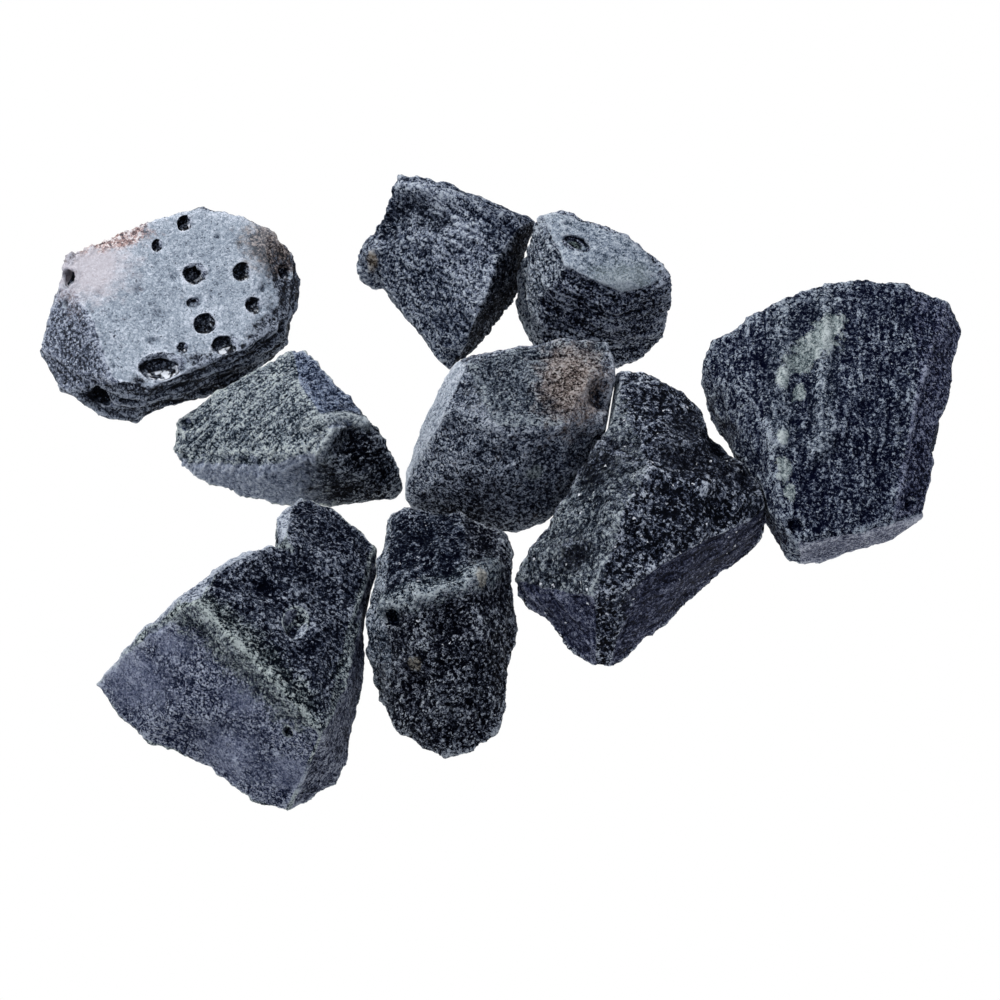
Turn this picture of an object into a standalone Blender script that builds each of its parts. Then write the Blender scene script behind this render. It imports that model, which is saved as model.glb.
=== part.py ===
"""A set of nine rough-broken basalt stones, lying loose side by side on a flat surface.

Every stone is one solid lump of rock.  Its corners are given in percent of its own length (X),
width (Y) and height (Z), so a stone keeps its character when one of its sizes is changed.  The
stones are laid out one after another: each slides out from a neighbour along a bearing until
the asked gap is left, so no size can push one stone into another.
Units are metres, +Z is up and the origin is under the middle of the group.
"""
import math

import bmesh
import bpy
from mathutils import Vector
from mathutils.bvhtree import BVHTree
from mathutils.geometry import convex_hull_2d

MM = 0.001

# ---- driving dimensions: the size of each stone -------------------------------------------------
PITTED_LENGTH, PITTED_WIDTH, PITTED_HEIGHT = 85 * MM, 67 * MM, 28 * MM
WEDGE_LENGTH, WEDGE_WIDTH, WEDGE_HEIGHT = 74 * MM, 46 * MM, 31 * MM
POINTED_LENGTH, POINTED_WIDTH, POINTED_HEIGHT = 59 * MM, 55 * MM, 35 * MM
BLOCK_LENGTH, BLOCK_WIDTH, BLOCK_HEIGHT = 50 * MM, 37 * MM, 38 * MM
CENTRE_LENGTH, CENTRE_WIDTH, CENTRE_HEIGHT = 66 * MM, 51 * MM, 40 * MM
RIDGED_LENGTH, RIDGED_WIDTH, RIDGED_HEIGHT = 78 * MM, 88 * MM, 41 * MM
SLAB_LENGTH, SLAB_WIDTH, SLAB_HEIGHT = 82 * MM, 87 * MM, 40 * MM
LARGE_LENGTH, LARGE_WIDTH, LARGE_HEIGHT = 82 * MM, 98 * MM, 42 * MM
LONG_LENGTH, LONG_WIDTH, LONG_HEIGHT = 45 * MM, 74 * MM, 32 * MM

# ---- how the stones lie: clear strips between neighbours, seen from above -----------------------
STONE_GAP = 1.0 * MM      # the least strip between any two stones
WEDGE_GAP = 1.3 * MM      # wedge to centre stone
LONG_GAP = 5 * MM         # long to centre stone
PITTED_GAP = 6 * MM       # pitted to wedge stone
BLOCK_GAP = 12 * MM       # block to centre stone
SLIDE_STEP = 0.1 * MM     # how finely a stone is slid out from its neighbour

# A stone, the neighbour it slides out from, the bearing in degrees it slides along, its gap.
LAYOUT = (
    ("ridged_stone", "centre_stone", -33.5, STONE_GAP),
    ("slab_stone", "ridged_stone", 26, STONE_GAP),
    ("long_stone", "centre_stone", -108, LONG_GAP),
    ("wedge_stone", "centre_stone", 172.5, WEDGE_GAP),
    ("large_stone", "long_stone", -175, STONE_GAP),
    ("pitted_stone", "wedge_stone", 133.5, PITTED_GAP),
    ("block_stone", "centre_stone", 64.5, BLOCK_GAP),
    ("pointed_stone", "block_stone", 170.5, STONE_GAP),
)

# ---- gas bubbles of the pitted stone: place in percent, length, width and depth share ------------
PITTED_BUBBLES = (
    (55, 90, 4.5 * MM, 5.5 * MM, 0.2),
    (45, 77, 3.2 * MM, 4.5 * MM, 0.1),
    (60, 62, 8.0 * MM, 7.8 * MM, 0.2),
    (78, 64, 5.6 * MM, 6.5 * MM, 0.1),
    (94, 70, 4.4 * MM, 4.8 * MM, 0.1),
    (60, 46, 5.0 * MM, 4.0 * MM, -0.2),
    (65, 35, 7.4 * MM, 7.2 * MM, 0.2),
    (83, 46, 5.6 * MM, 5.4 * MM, 0.1),
    (73, 24, 8.6 * MM, 6.0 * MM, 0.1),
    (57, 22, 3.6 * MM, 3.8 * MM, 0.1),
    (46, 25, 5.0 * MM, 3.2 * MM, -0.4),
    (27, 5, 8.0 * MM, 7.0 * MM, -0.1),
    (12, 62, 5.6 * MM, 7.0 * MM, 0.1),
    (12, 50, 4.4 * MM, 4.4 * MM, -0.4),
    (95, 40, 5.0 * MM, 5.0 * MM, 0.0),
)

# ---- how the rock breaks ------------------------------------------------------------------------
FOOT_SHARE = 0.86         # a stone's flat foot, as a share of its rim seen from above
ARRIS_WIDTH = 0.7 * MM    # worn width of an edge between two broken faces
ARRIS_ANGLE = math.radians(24)   # edges flatter than this stay as they are
PIT_SEGMENTS, PIT_RINGS = 16, 10
SCAR_SEGMENTS, SCAR_RINGS = 32, 18
OVERHEAD = 300            # percent of a stone's height: well above its highest point

LEVEL_AXIS = Vector((0, 0, 1))


def clear_scene():
    for item in list(bpy.data.objects):
        bpy.data.objects.remove(item, do_unlink=True)


def new_collection(name):
    collection = bpy.data.collections.new(name)
    bpy.context.scene.collection.children.link(collection)
    return collection


def rock(name, colour, roughness):
    """Basalt: a dark rock with no metal in it, given by its colour and how rough it broke."""
    material = bpy.data.materials.new(name)
    material.use_nodes = True
    shader = material.node_tree.nodes["Principled BSDF"]
    shader.inputs["Base Color"].default_value = (*colour, 1)
    shader.inputs["Roughness"].default_value = roughness
    shader.inputs["Metallic"].default_value = 0
    material.diffuse_color = (*colour, 1)
    return material


class Stone:
    """One stone: its size, its broken lobes in its own frame, and its place in the group.

    The stone's own frame has its origin in the middle of its length and width, at the foot.
    """

    def __init__(self, name, size, material):
        self.name = name
        self.size = Vector(size)
        self.material = material
        self.lobes = []
        self.pits = []
        self.scars = []
        self.place = Vector((0, 0))
        self.body = None
        self.skins = []

    def spot(self, percent):
        """Turns a corner in percent of length, width and height into metres."""
        x, y, z = (share / 100 * side for share, side in zip(percent, self.size))
        return Vector((x - self.size.x / 2, y - self.size.y / 2, z))

    def add_lobe(self, rim, crown):
        """A lobe is the tight skin round its rim, its crown and a smaller flat foot at z = 0."""
        rim_corners = [self.spot(corner) for corner in rim]
        crown_corners = [self.spot(corner) for corner in crown]
        middle = sum(rim_corners, Vector()) / len(rim_corners)
        foot = [middle + (corner - middle) * FOOT_SHARE for corner in rim_corners]
        foot_corners = [Vector((corner.x, corner.y, 0)) for corner in foot]
        self.lobes.append(rim_corners + crown_corners + foot_corners)

    def add_pit(self, x, y, length, width, turn=0, depth=0.0):
        """A gas bubble, open at the top of the stone.

        x and y are percent of the stone's length and width, length and width are the bubble's
        own, turn is in degrees, and depth is how far its middle lies under the skin, as a share
        of its half width: 0 leaves half a bubble, less than 0 a shallow dish.
        """
        self.pits.append((x, y, length, width, turn, depth))

    def add_scar(self, bearing, height, radius, depth):
        """A shallow shell-shaped scar where a flake came off the stone's side.

        bearing is in degrees round the stone, height in percent of its own, and radius and
        depth are those of the hollow.
        """
        self.scars.append((bearing, height, radius, depth))

    def outlines(self, place):
        """The stone's lobes seen from above, each a convex outline, moved to a place."""
        shapes = []
        for lobe in self.lobes:
            flat = [corner.xy for corner in lobe]
            shapes.append([flat[index] + place for index in convex_hull_2d(flat)])
        return shapes


def hull_mesh(name, corners):
    """Wraps a tight convex skin round the corners and drops the corners that lie inside it."""
    mesh = bpy.data.meshes.new(name)
    work = bmesh.new()
    points = [work.verts.new(corner) for corner in corners]
    wrapped = bmesh.ops.convex_hull(work, input=points)
    inside = wrapped["geom_interior"] + wrapped["geom_unused"]
    loose = [item for item in set(inside) if isinstance(item, bmesh.types.BMVert)]
    bmesh.ops.delete(work, geom=loose, context="VERTS")
    bmesh.ops.recalc_face_normals(work, faces=work.faces)
    work.to_mesh(mesh)
    work.free()
    return mesh


def new_object(name, mesh, collection, parent):
    item = bpy.data.objects.new(name, mesh)
    collection.objects.link(item)
    item.parent = parent
    return item


def new_cutter(name, mesh, cutters, parent):
    cutter = new_object(name, mesh, cutters, parent)
    cutter.hide_render = True
    cutter.display_type = "WIRE"
    return cutter


def boolean(item, cutter, operation):
    modifier = item.modifiers.new(operation.title() + "_" + cutter.name, "BOOLEAN")
    modifier.operation = operation
    modifier.object = cutter
    return modifier


def build_body(stone, parts, cutters, group):
    """Makes the stone's object from its first lobe, and joins any further lobes to it."""
    body = new_object(stone.name, hull_mesh(stone.name, stone.lobes[0]), parts, group)
    body.location = (*stone.place, 0)
    body.data.materials.append(stone.material)
    stone.body = body
    stone.skins = [skin_of(body.data)]
    for number, lobe in enumerate(stone.lobes[1:], start=2):
        name = f"{stone.name}_lobe_{number}"
        extra = new_cutter(name, hull_mesh(name, lobe), cutters, body)
        stone.skins.append(skin_of(extra.data))
        boolean(body, extra, "UNION")
    bevel = body.modifiers.new("Worn_edges", "BEVEL")
    bevel.width = ARRIS_WIDTH
    bevel.segments = 1
    bevel.limit_method = "ANGLE"
    bevel.angle_limit = ARRIS_ANGLE


def skin_of(mesh):
    work = bmesh.new()
    work.from_mesh(mesh)
    skin = BVHTree.FromBMesh(work)
    work.free()
    return skin


def outer_hit(stone, start, direction):
    """First point of the stone, and the way its surface faces there, met along a ray."""
    hits = [skin.ray_cast(start, direction) for skin in stone.skins]
    point, normal, _, _ = min((hit for hit in hits if hit[0]), key=lambda hit: hit[3])
    return point, normal


def ball_mesh(name, radius, segments, rings):
    mesh = bpy.data.meshes.new(name)
    work = bmesh.new()
    bmesh.ops.create_uvsphere(work, u_segments=segments, v_segments=rings, radius=radius)
    work.to_mesh(mesh)
    work.free()
    return mesh


def cut_pit(stone, cutters, x, y, length, width, turn, depth):
    point, normal = outer_hit(stone, stone.spot((x, y, OVERHEAD)), -LEVEL_AXIS)
    name = f"{stone.name}_cut_{len(stone.body.modifiers)}"
    bubble = new_cutter(name, ball_mesh(name, 0.5, PIT_SEGMENTS, PIT_RINGS), cutters, stone.body)
    bubble.location = point - normal * width / 2 * depth
    bubble.scale = (length, width, width)
    bubble.rotation_euler = (0, 0, math.radians(turn))
    boolean(stone.body, bubble, "DIFFERENCE")


def cut_scar(stone, cutters, bearing, height, radius, depth):
    angle = math.radians(bearing)
    outward = Vector((math.cos(angle), math.sin(angle), 0))
    middle = Vector((0, 0, height / 100 * stone.size.z))
    point, normal = outer_hit(stone, middle + outward * stone.size.length, -outward)
    name = f"{stone.name}_cut_{len(stone.body.modifiers)}"
    hollow = new_cutter(name, ball_mesh(name, radius, SCAR_SEGMENTS, SCAR_RINGS), cutters, stone.body)
    hollow.location = point + normal * (radius - depth)
    boolean(stone.body, hollow, "DIFFERENCE")


def clearance(shape, other):
    """Width of the widest straight strip between two convex outlines, negative if they overlap."""
    widest = -math.inf
    for outline, facing in ((shape, other), (other, shape)):
        for start, end in zip(outline, outline[1:] + outline[:1]):
            edge = (end - start).normalized()
            outward = Vector((edge.y, -edge.x))
            widest = max(widest, min((point - start).dot(outward) for point in facing))
    return widest


def gap_between(stone, place, other):
    """Least clearance between a stone tried at a place and another stone where it lies."""
    return min(
        clearance(shape, facing)
        for shape in stone.outlines(place)
        for facing in other.outlines(other.place)
    )


def slide_out(stone, neighbour, bearing, gap, placed):
    """Slides a stone from its neighbour's middle along a bearing until every gap is kept."""
    angle = math.radians(bearing)
    heading = Vector((math.cos(angle), math.sin(angle)))
    travel = min(*stone.size.xy, *neighbour.size.xy) / 2
    while True:
        place = neighbour.place + heading * travel
        near = gap_between(stone, place, neighbour)
        if near >= gap:
            crowding = min(gap_between(stone, place, other) for other in placed)
            if crowding >= STONE_GAP:
                break
        travel += SLIDE_STEP
    stone.place = place
    placed.append(stone)


def define_pitted():
    stone = Stone(
        "pitted_stone",
        (PITTED_LENGTH, PITTED_WIDTH, PITTED_HEIGHT),
        rock("Blistered_basalt_skin", (0.15, 0.17, 0.21), 0.55),
    )
    back = [(5, 52, 58), (10, 67, 82), (13, 76, 86), (40, 92, 100), (59, 100, 100), (77, 96, 95)]
    right = [(88, 91, 82), (97, 82, 62), (100, 72, 46), (96, 37, 28), (77, 20, 14), (64, 12, 9)]
    front = [(39, 0, 9), (25, 4, 13), (8, 16, 18), (0, 33, 30)]
    skin_edge = [(24, 36, 90), (33, 4, 74), (46, 1, 70), (62, 13, 78), (80, 22, 78), (95, 40, 60)]
    stone.add_lobe(back + right + front, skin_edge + [(85, 80, 91)])
    for x, y, length, width, depth in PITTED_BUBBLES:
        stone.add_pit(x, y, length, width, depth=depth)
    stone.add_pit(49, 12, 15 * MM, 9 * MM, turn=5, depth=-0.1)
    stone.add_scar(-5, 35, 9 * MM, 2 * MM)
    return stone


def define_wedge():
    stone = Stone(
        "wedge_stone",
        (WEDGE_LENGTH, WEDGE_WIDTH, WEDGE_HEIGHT),
        rock("Green_dusted_basalt", (0.065, 0.08, 0.085), 0.8),
    )
    back = [(14, 70, 42), (34, 85, 58), (52, 100, 69), (57, 97, 69), (78, 58, 69), (91, 34, 58)]
    front = [(97, 20, 38), (100, 9, 12), (97, 4, 8), (71, 0, 4), (48, 0, 4), (31, 6, 4)]
    left = [(12, 20, 4), (4, 29, 8), (0, 40, 15), (2, 60, 27)]
    ridge = [(57, 63, 88), (71, 22, 100), (65, 4, 96), (85, 36, 77), (49, 5, 65), (41, 6, 46)]
    stone.add_lobe(back + front + left, ridge)
    stone.add_pit(6, 54, 4.5 * MM, 4 * MM, turn=-30)
    return stone


def define_pointed():
    stone = Stone(
        "pointed_stone",
        (POINTED_LENGTH, POINTED_WIDTH, POINTED_HEIGHT),
        rock("Grey_fractured_basalt", (0.05, 0.06, 0.075), 0.8),
    )
    back = [(18, 89, 79), (25, 100, 100), (39, 99, 100), (53, 92, 100), (75, 84, 93), (87, 79, 83)]
    right = [(100, 87, 55), (96, 82, 24), (89, 51, 7), (74, 29, 3), (65, 12, 3), (53, 0, 7)]
    left = [(48, 4, 14), (40, 22, 24), (28, 40, 28), (15, 54, 28), (7, 76, 48)]
    arris = [(93, 68, 86), (86, 56, 90), (80, 42, 90), (75, 27, 79), (68, 13, 62), (63, 6, 38)]
    stone.add_lobe(back + right + left, arris)
    bump = [(8, 61, 17), (2, 67, 17), (0, 73, 21), (3, 77, 41), (13, 80, 58), (40, 70, 58)]
    stone.add_lobe(bump + [(41, 58, 32)], [(10, 67, 54)])
    return stone


def define_block():
    stone = Stone(
        "block_stone",
        (BLOCK_LENGTH, BLOCK_WIDTH, BLOCK_HEIGHT),
        rock("Pale_topped_basalt", (0.08, 0.09, 0.11), 0.8),
    )
    back = [(4, 79, 56), (14, 96, 91), (17, 100, 97), (30, 100, 100), (48, 91, 100), (67, 77, 100)]
    right = [(86, 61, 94), (100, 44, 81), (100, 37, 69), (100, 29, 41), (94, 19, 19), (86, 13, 3)]
    front = [(67, 2, 0), (40, 0, 0), (20, 9, 3), (11, 24, 3), (5, 43, 19), (0, 55, 28)]
    brow = [(32, 44, 97), (54, 28, 94), (70, 21, 88), (89, 30, 84), (15, 33, 63), (20, 40, 75)]
    stone.add_lobe(back + right + front, brow)
    stone.add_pit(40, 67, 10 * MM, 4.5 * MM, turn=-25, depth=-0.1)
    stone.add_pit(34, 87, 3.5 * MM, 1.8 * MM, turn=-15, depth=0)
    return stone


def define_centre():
    stone = Stone(
        "centre_stone",
        (CENTRE_LENGTH, CENTRE_WIDTH, CENTRE_HEIGHT),
        rock("Warm_patched_basalt", (0.055, 0.06, 0.065), 0.8),
    )
    back = [(22, 86, 79), (27, 90, 84), (75, 99, 94), (97, 100, 91)]
    right = [(100, 82, 88), (96, 56, 82), (95, 44, 76), (82, 33, 67), (79, 19, 45), (75, 13, 27)]
    front = [(67, 6, 12), (53, 0, 9), (41, 5, 9), (17, 14, 9), (2, 16, 12), (0, 22, 18)]
    left = [(1, 35, 27), (7, 55, 45), (17, 77, 64)]
    top = [(31, 80, 94), (20, 51, 76), (46, 37, 91), (74, 36, 94), (88, 68, 100)]
    apron = [(46, 16, 61), (22, 26, 55)]
    stone.add_lobe(back + right + front + left, top + apron)
    stone.add_scar(11, 88, 8 * MM, 2.5 * MM)
    stone.add_scar(-20, 66, 16 * MM, 2.5 * MM)
    return stone


def define_ridged():
    stone = Stone(
        "ridged_stone",
        (RIDGED_LENGTH, RIDGED_WIDTH, RIDGED_HEIGHT),
        rock("Glittering_dark_basalt", (0.035, 0.04, 0.05), 0.75),
    )
    right = [(92, 66, 59), (99, 55, 50), (100, 50, 35), (98, 47, 18), (89, 40, 9)]
    crest = [(53, 20, 74), (72, 31, 71), (91, 43, 56), (53, 53, 100), (72, 48, 91), (41, 35, 94)]
    head = [(42, 100, 71), (51, 100, 74), (64, 95, 71), (71, 90, 62), (77, 85, 59)]
    throat = [(75, 31, 6), (50, 10, 6), (40, 39, 18), (37, 73, 72)]
    stone.add_lobe(head + right + throat, crest + [(58, 72, 88)])
    front = [(73, 29, 6), (59, 21, 6), (50, 11, 6), (42, 6, 3), (38, 0, 3), (31, 0, 3), (27, 6, 6)]
    left = [(15, 15, 12), (1, 25, 15), (0, 30, 21), (6, 38, 29), (13, 48, 35), (25, 61, 41)]
    tail = [(34, 70, 75), (71, 85, 59)]
    stone.add_lobe(right + front + left + tail, crest + [(30, 13, 59), (41, 15, 65)])
    stone.add_scar(41, 60, 18 * MM, 3.5 * MM)
    stone.add_scar(-48, 14, 60 * MM, 1.6 * MM)
    return stone


def define_slab():
    stone = Stone(
        "slab_stone",
        (SLAB_LENGTH, SLAB_WIDTH, SLAB_HEIGHT),
        rock("Navy_streaked_basalt", (0.045, 0.055, 0.075), 0.78),
    )
    back = [(3, 80, 70), (16, 86, 85), (28, 93, 91), (45, 99, 97), (61, 100, 100), (76, 97, 97)]
    right = [(94, 93, 88), (100, 86, 73), (94, 70, 76), (92, 56, 73), (85, 40, 67), (83, 29, 55)]
    front = [(82, 16, 39), (76, 15, 27), (66, 10, 15), (51, 8, 9), (36, 4, 6), (31, 6, 6)]
    left = [(33, 12, 3), (34, 19, 9), (3, 64, 24), (0, 70, 42), (0, 75, 58)]
    top = [(53, 49, 94), (78, 51, 88), (23, 36, 82), (25, 15, 70)]
    brow = [(28, 2, 58), (33, 0, 48), (56, 5, 52), (68, 9, 52)]
    stone.add_lobe(back + right + front + left, top + brow)
    stone.add_pit(31, 6, 7 * MM, 5.5 * MM, depth=-0.2)
    stone.add_pit(75, 17, 3.6 * MM, 3.6 * MM)
    stone.add_scar(-12, 55, 40 * MM, 2.2 * MM)
    stone.add_scar(168, 55, 9 * MM, 1.5 * MM)
    return stone


def define_large():
    stone = Stone(
        "large_stone",
        (LARGE_LENGTH, LARGE_WIDTH, LARGE_HEIGHT),
        rock("Violet_faced_basalt", (0.055, 0.06, 0.08), 0.78),
    )
    left = [(4, 35, 14), (0, 39, 20), (10, 44, 40), (20, 49, 63), (35, 55, 89), (46, 63, 89)]
    back = [(54, 65, 86), (64, 75, 71), (96, 79, 34)]
    right = [(99, 75, 29), (96, 53, 23), (96, 37, 17), (94, 23, 11), (90, 10, 6)]
    front = [(81, 5, 3), (71, 0, 3), (63, 2, 3), (52, 8, 3), (37, 16, 6), (18, 23, 6), (11, 28, 9)]
    crest = [(40, 49, 100), (54, 36, 89), (76, 20, 80), (85, 13, 66), (93, 31, 49), (92, 47, 51)]
    toe = [(79, 7, 37), (77, 4, 20), (87, 75, 51)]
    stone.add_lobe(left + back + right + front, crest + toe)
    head = [(65, 76, 60), (65, 90, 51), (69, 96, 46), (73, 100, 40), (84, 97, 37), (95, 89, 34)]
    neck = [(100, 84, 31), (100, 75, 29), (96, 55, 23), (70, 55, 40)]
    stone.add_lobe(head + neck, [(69, 78, 69), (87, 76, 54), (92, 47, 51)])
    stone.add_pit(73, 49, 9 * MM, 16 * MM, turn=-15, depth=-0.55)
    stone.add_pit(73, 15, 3.6 * MM, 4 * MM, depth=0.1)
    stone.add_scar(250, 8, 50 * MM, 3 * MM)
    return stone


def define_long():
    stone = Stone(
        "long_stone",
        (LONG_LENGTH, LONG_WIDTH, LONG_HEIGHT),
        rock("Near_black_basalt", (0.035, 0.038, 0.05), 0.75),
    )
    back = [(7, 67, 63), (11, 86, 63), (16, 99, 59), (27, 100, 63), (62, 99, 63), (76, 95, 52)]
    right = [(93, 94, 41), (96, 81, 44), (100, 66, 30), (99, 49, 22), (92, 35, 19), (90, 17, 11)]
    front = [(86, 8, 7), (69, 3, 4), (54, 0, 4), (41, 3, 4), (22, 13, 7), (16, 20, 7)]
    left = [(7, 30, 15), (1, 42, 33), (0, 51, 48)]
    crest = [(12, 53, 81), (36, 52, 96), (70, 59, 100), (88, 72, 74), (16, 83, 74)]
    slope = [(83, 33, 56), (50, 16, 48), (22, 26, 44)]
    stone.add_lobe(back + right + front + left, crest + slope)
    stone.add_pit(18, 48, 5 * MM, 4 * MM, turn=10)
    stone.add_scar(-18, 20, 14 * MM, 1.8 * MM)
    return stone


def main():
    clear_scene()
    parts = new_collection("basalt_stone_set")
    cutters = new_collection("cutters")
    group = bpy.data.objects.new("group_origin", None)
    parts.objects.link(group)

    makers = (
        define_centre, define_ridged, define_slab, define_long, define_wedge,
        define_large, define_pitted, define_block, define_pointed,
    )
    stones = {stone.name: stone for stone in (make() for make in makers)}
    placed = [stones["centre_stone"]]
    for name, neighbour, bearing, gap in LAYOUT:
        slide_out(stones[name], stones[neighbour], bearing, gap, placed)

    for stone in placed:
        build_body(stone, parts, cutters, group)
        for pit in stone.pits:
            cut_pit(stone, cutters, *pit)
        for scar in stone.scars:
            cut_scar(stone, cutters, *scar)

    corners = [point for stone in placed for shape in stone.outlines(stone.place) for point in shape]
    middle_x = (min(point.x for point in corners) + max(point.x for point in corners)) / 2
    middle_y = (min(point.y for point in corners) + max(point.y for point in corners)) / 2
    group.location = (-middle_x, -middle_y, 0)


main()
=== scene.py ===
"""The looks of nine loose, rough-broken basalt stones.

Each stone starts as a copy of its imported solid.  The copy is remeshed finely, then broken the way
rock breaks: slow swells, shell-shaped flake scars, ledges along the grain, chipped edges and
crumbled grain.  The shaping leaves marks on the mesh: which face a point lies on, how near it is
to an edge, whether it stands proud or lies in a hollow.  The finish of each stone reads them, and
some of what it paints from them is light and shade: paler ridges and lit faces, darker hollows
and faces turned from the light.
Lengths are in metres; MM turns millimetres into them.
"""
import math

import bmesh
import bpy
import numpy as np
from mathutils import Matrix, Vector
from mathutils.bvhtree import BVHTree
from mathutils.kdtree import KDTree


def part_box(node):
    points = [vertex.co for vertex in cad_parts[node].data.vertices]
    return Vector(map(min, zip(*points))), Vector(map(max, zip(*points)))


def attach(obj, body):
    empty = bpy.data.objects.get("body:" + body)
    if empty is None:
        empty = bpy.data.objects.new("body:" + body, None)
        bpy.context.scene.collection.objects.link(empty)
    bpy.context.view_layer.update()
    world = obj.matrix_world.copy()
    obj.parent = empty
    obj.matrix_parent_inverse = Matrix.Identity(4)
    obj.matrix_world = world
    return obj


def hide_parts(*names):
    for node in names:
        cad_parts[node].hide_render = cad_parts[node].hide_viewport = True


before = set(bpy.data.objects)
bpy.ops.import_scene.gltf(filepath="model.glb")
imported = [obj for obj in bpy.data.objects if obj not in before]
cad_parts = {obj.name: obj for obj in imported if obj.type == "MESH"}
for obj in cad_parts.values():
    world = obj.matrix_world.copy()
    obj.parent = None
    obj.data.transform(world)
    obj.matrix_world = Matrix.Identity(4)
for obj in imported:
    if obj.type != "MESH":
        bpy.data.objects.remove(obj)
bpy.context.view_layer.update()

MM = 0.001

TRIANGLES = 138_000       # sets how fine a mesh is; it comes to 1.4 times as many, under 200,000
FINEST = 0.4 * MM         # finest mesh that is worth making
ARRIS = 16                # degrees a solid's faces have to turn at an edge for it to chip
TICK = 0.8 * MM           # spacing of the marks along such edges
REACH = 4 * MM            # nearest that two stones have to be for their skins to be watched
CLEARANCE = 0.5 * MM      # what is kept open between them
DRAWS = 4                 # how often a point may be drawn back to keep that clearance
FLOOR_DROP = 0.05 * MM    # how far the floor lies under the stones' feet


# ---- small helpers ------------------------------------------------------------------------------

def linear(hex_colour):
    """An sRGB hex colour as linear RGB with full alpha."""
    channels = [int(hex_colour[i:i + 2], 16) / 255 for i in (1, 3, 5)]
    curve = [c / 12.92 if c <= 0.04045 else ((c + 0.055) / 1.055) ** 2.4 for c in channels]
    return (*curve, 1)


def radians(degrees):
    """Several angles at once."""
    return [math.radians(angle) for angle in degrees]


def smooth_step(values, low, high):
    """0 below low, 1 above high, easing between them."""
    t = np.clip((values - low) / (high - low), 0, 1)
    return t * t * (3 - 2 * t)


def unit(rows):
    """Rows of numbers as directions of length 1."""
    return rows / np.linalg.norm(rows, axis=1)[:, None]


def select_only(item):
    bpy.ops.object.select_all(action="DESELECT")
    item.select_set(True)
    bpy.context.view_layer.objects.active = item


# ---- breaking the rock --------------------------------------------------------------------------

def noise_texture(name, kind, size, **settings):
    """One of Blender's procedural textures; size is the spacing of its pattern."""
    texture = bpy.data.textures.new(name, kind)
    texture.noise_scale = size
    for key, value in settings.items():
        setattr(texture, key, value)
    return texture


SWELL = noise_texture("Swell", "CLOUDS", 16 * MM, noise_depth=1)
FLAKE = noise_texture("Flake_scars", "VORONOI", 13 * MM)
CHIP = noise_texture("Edge_chips", "VORONOI", 3.6 * MM)
LEDGE = noise_texture("Ledges", "CLOUDS", 2.6 * MM, noise_depth=2, noise_type="HARD_NOISE")
LUMP = noise_texture("Lumps", "CLOUDS", 4.2 * MM, noise_depth=3)
CRUMBLE = noise_texture("Crumble", "CLOUDS", 1.9 * MM, noise_depth=2, noise_type="HARD_NOISE")
GRAIN = noise_texture("Grain", "CLOUDS", 1.0 * MM, noise_depth=2)


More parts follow.
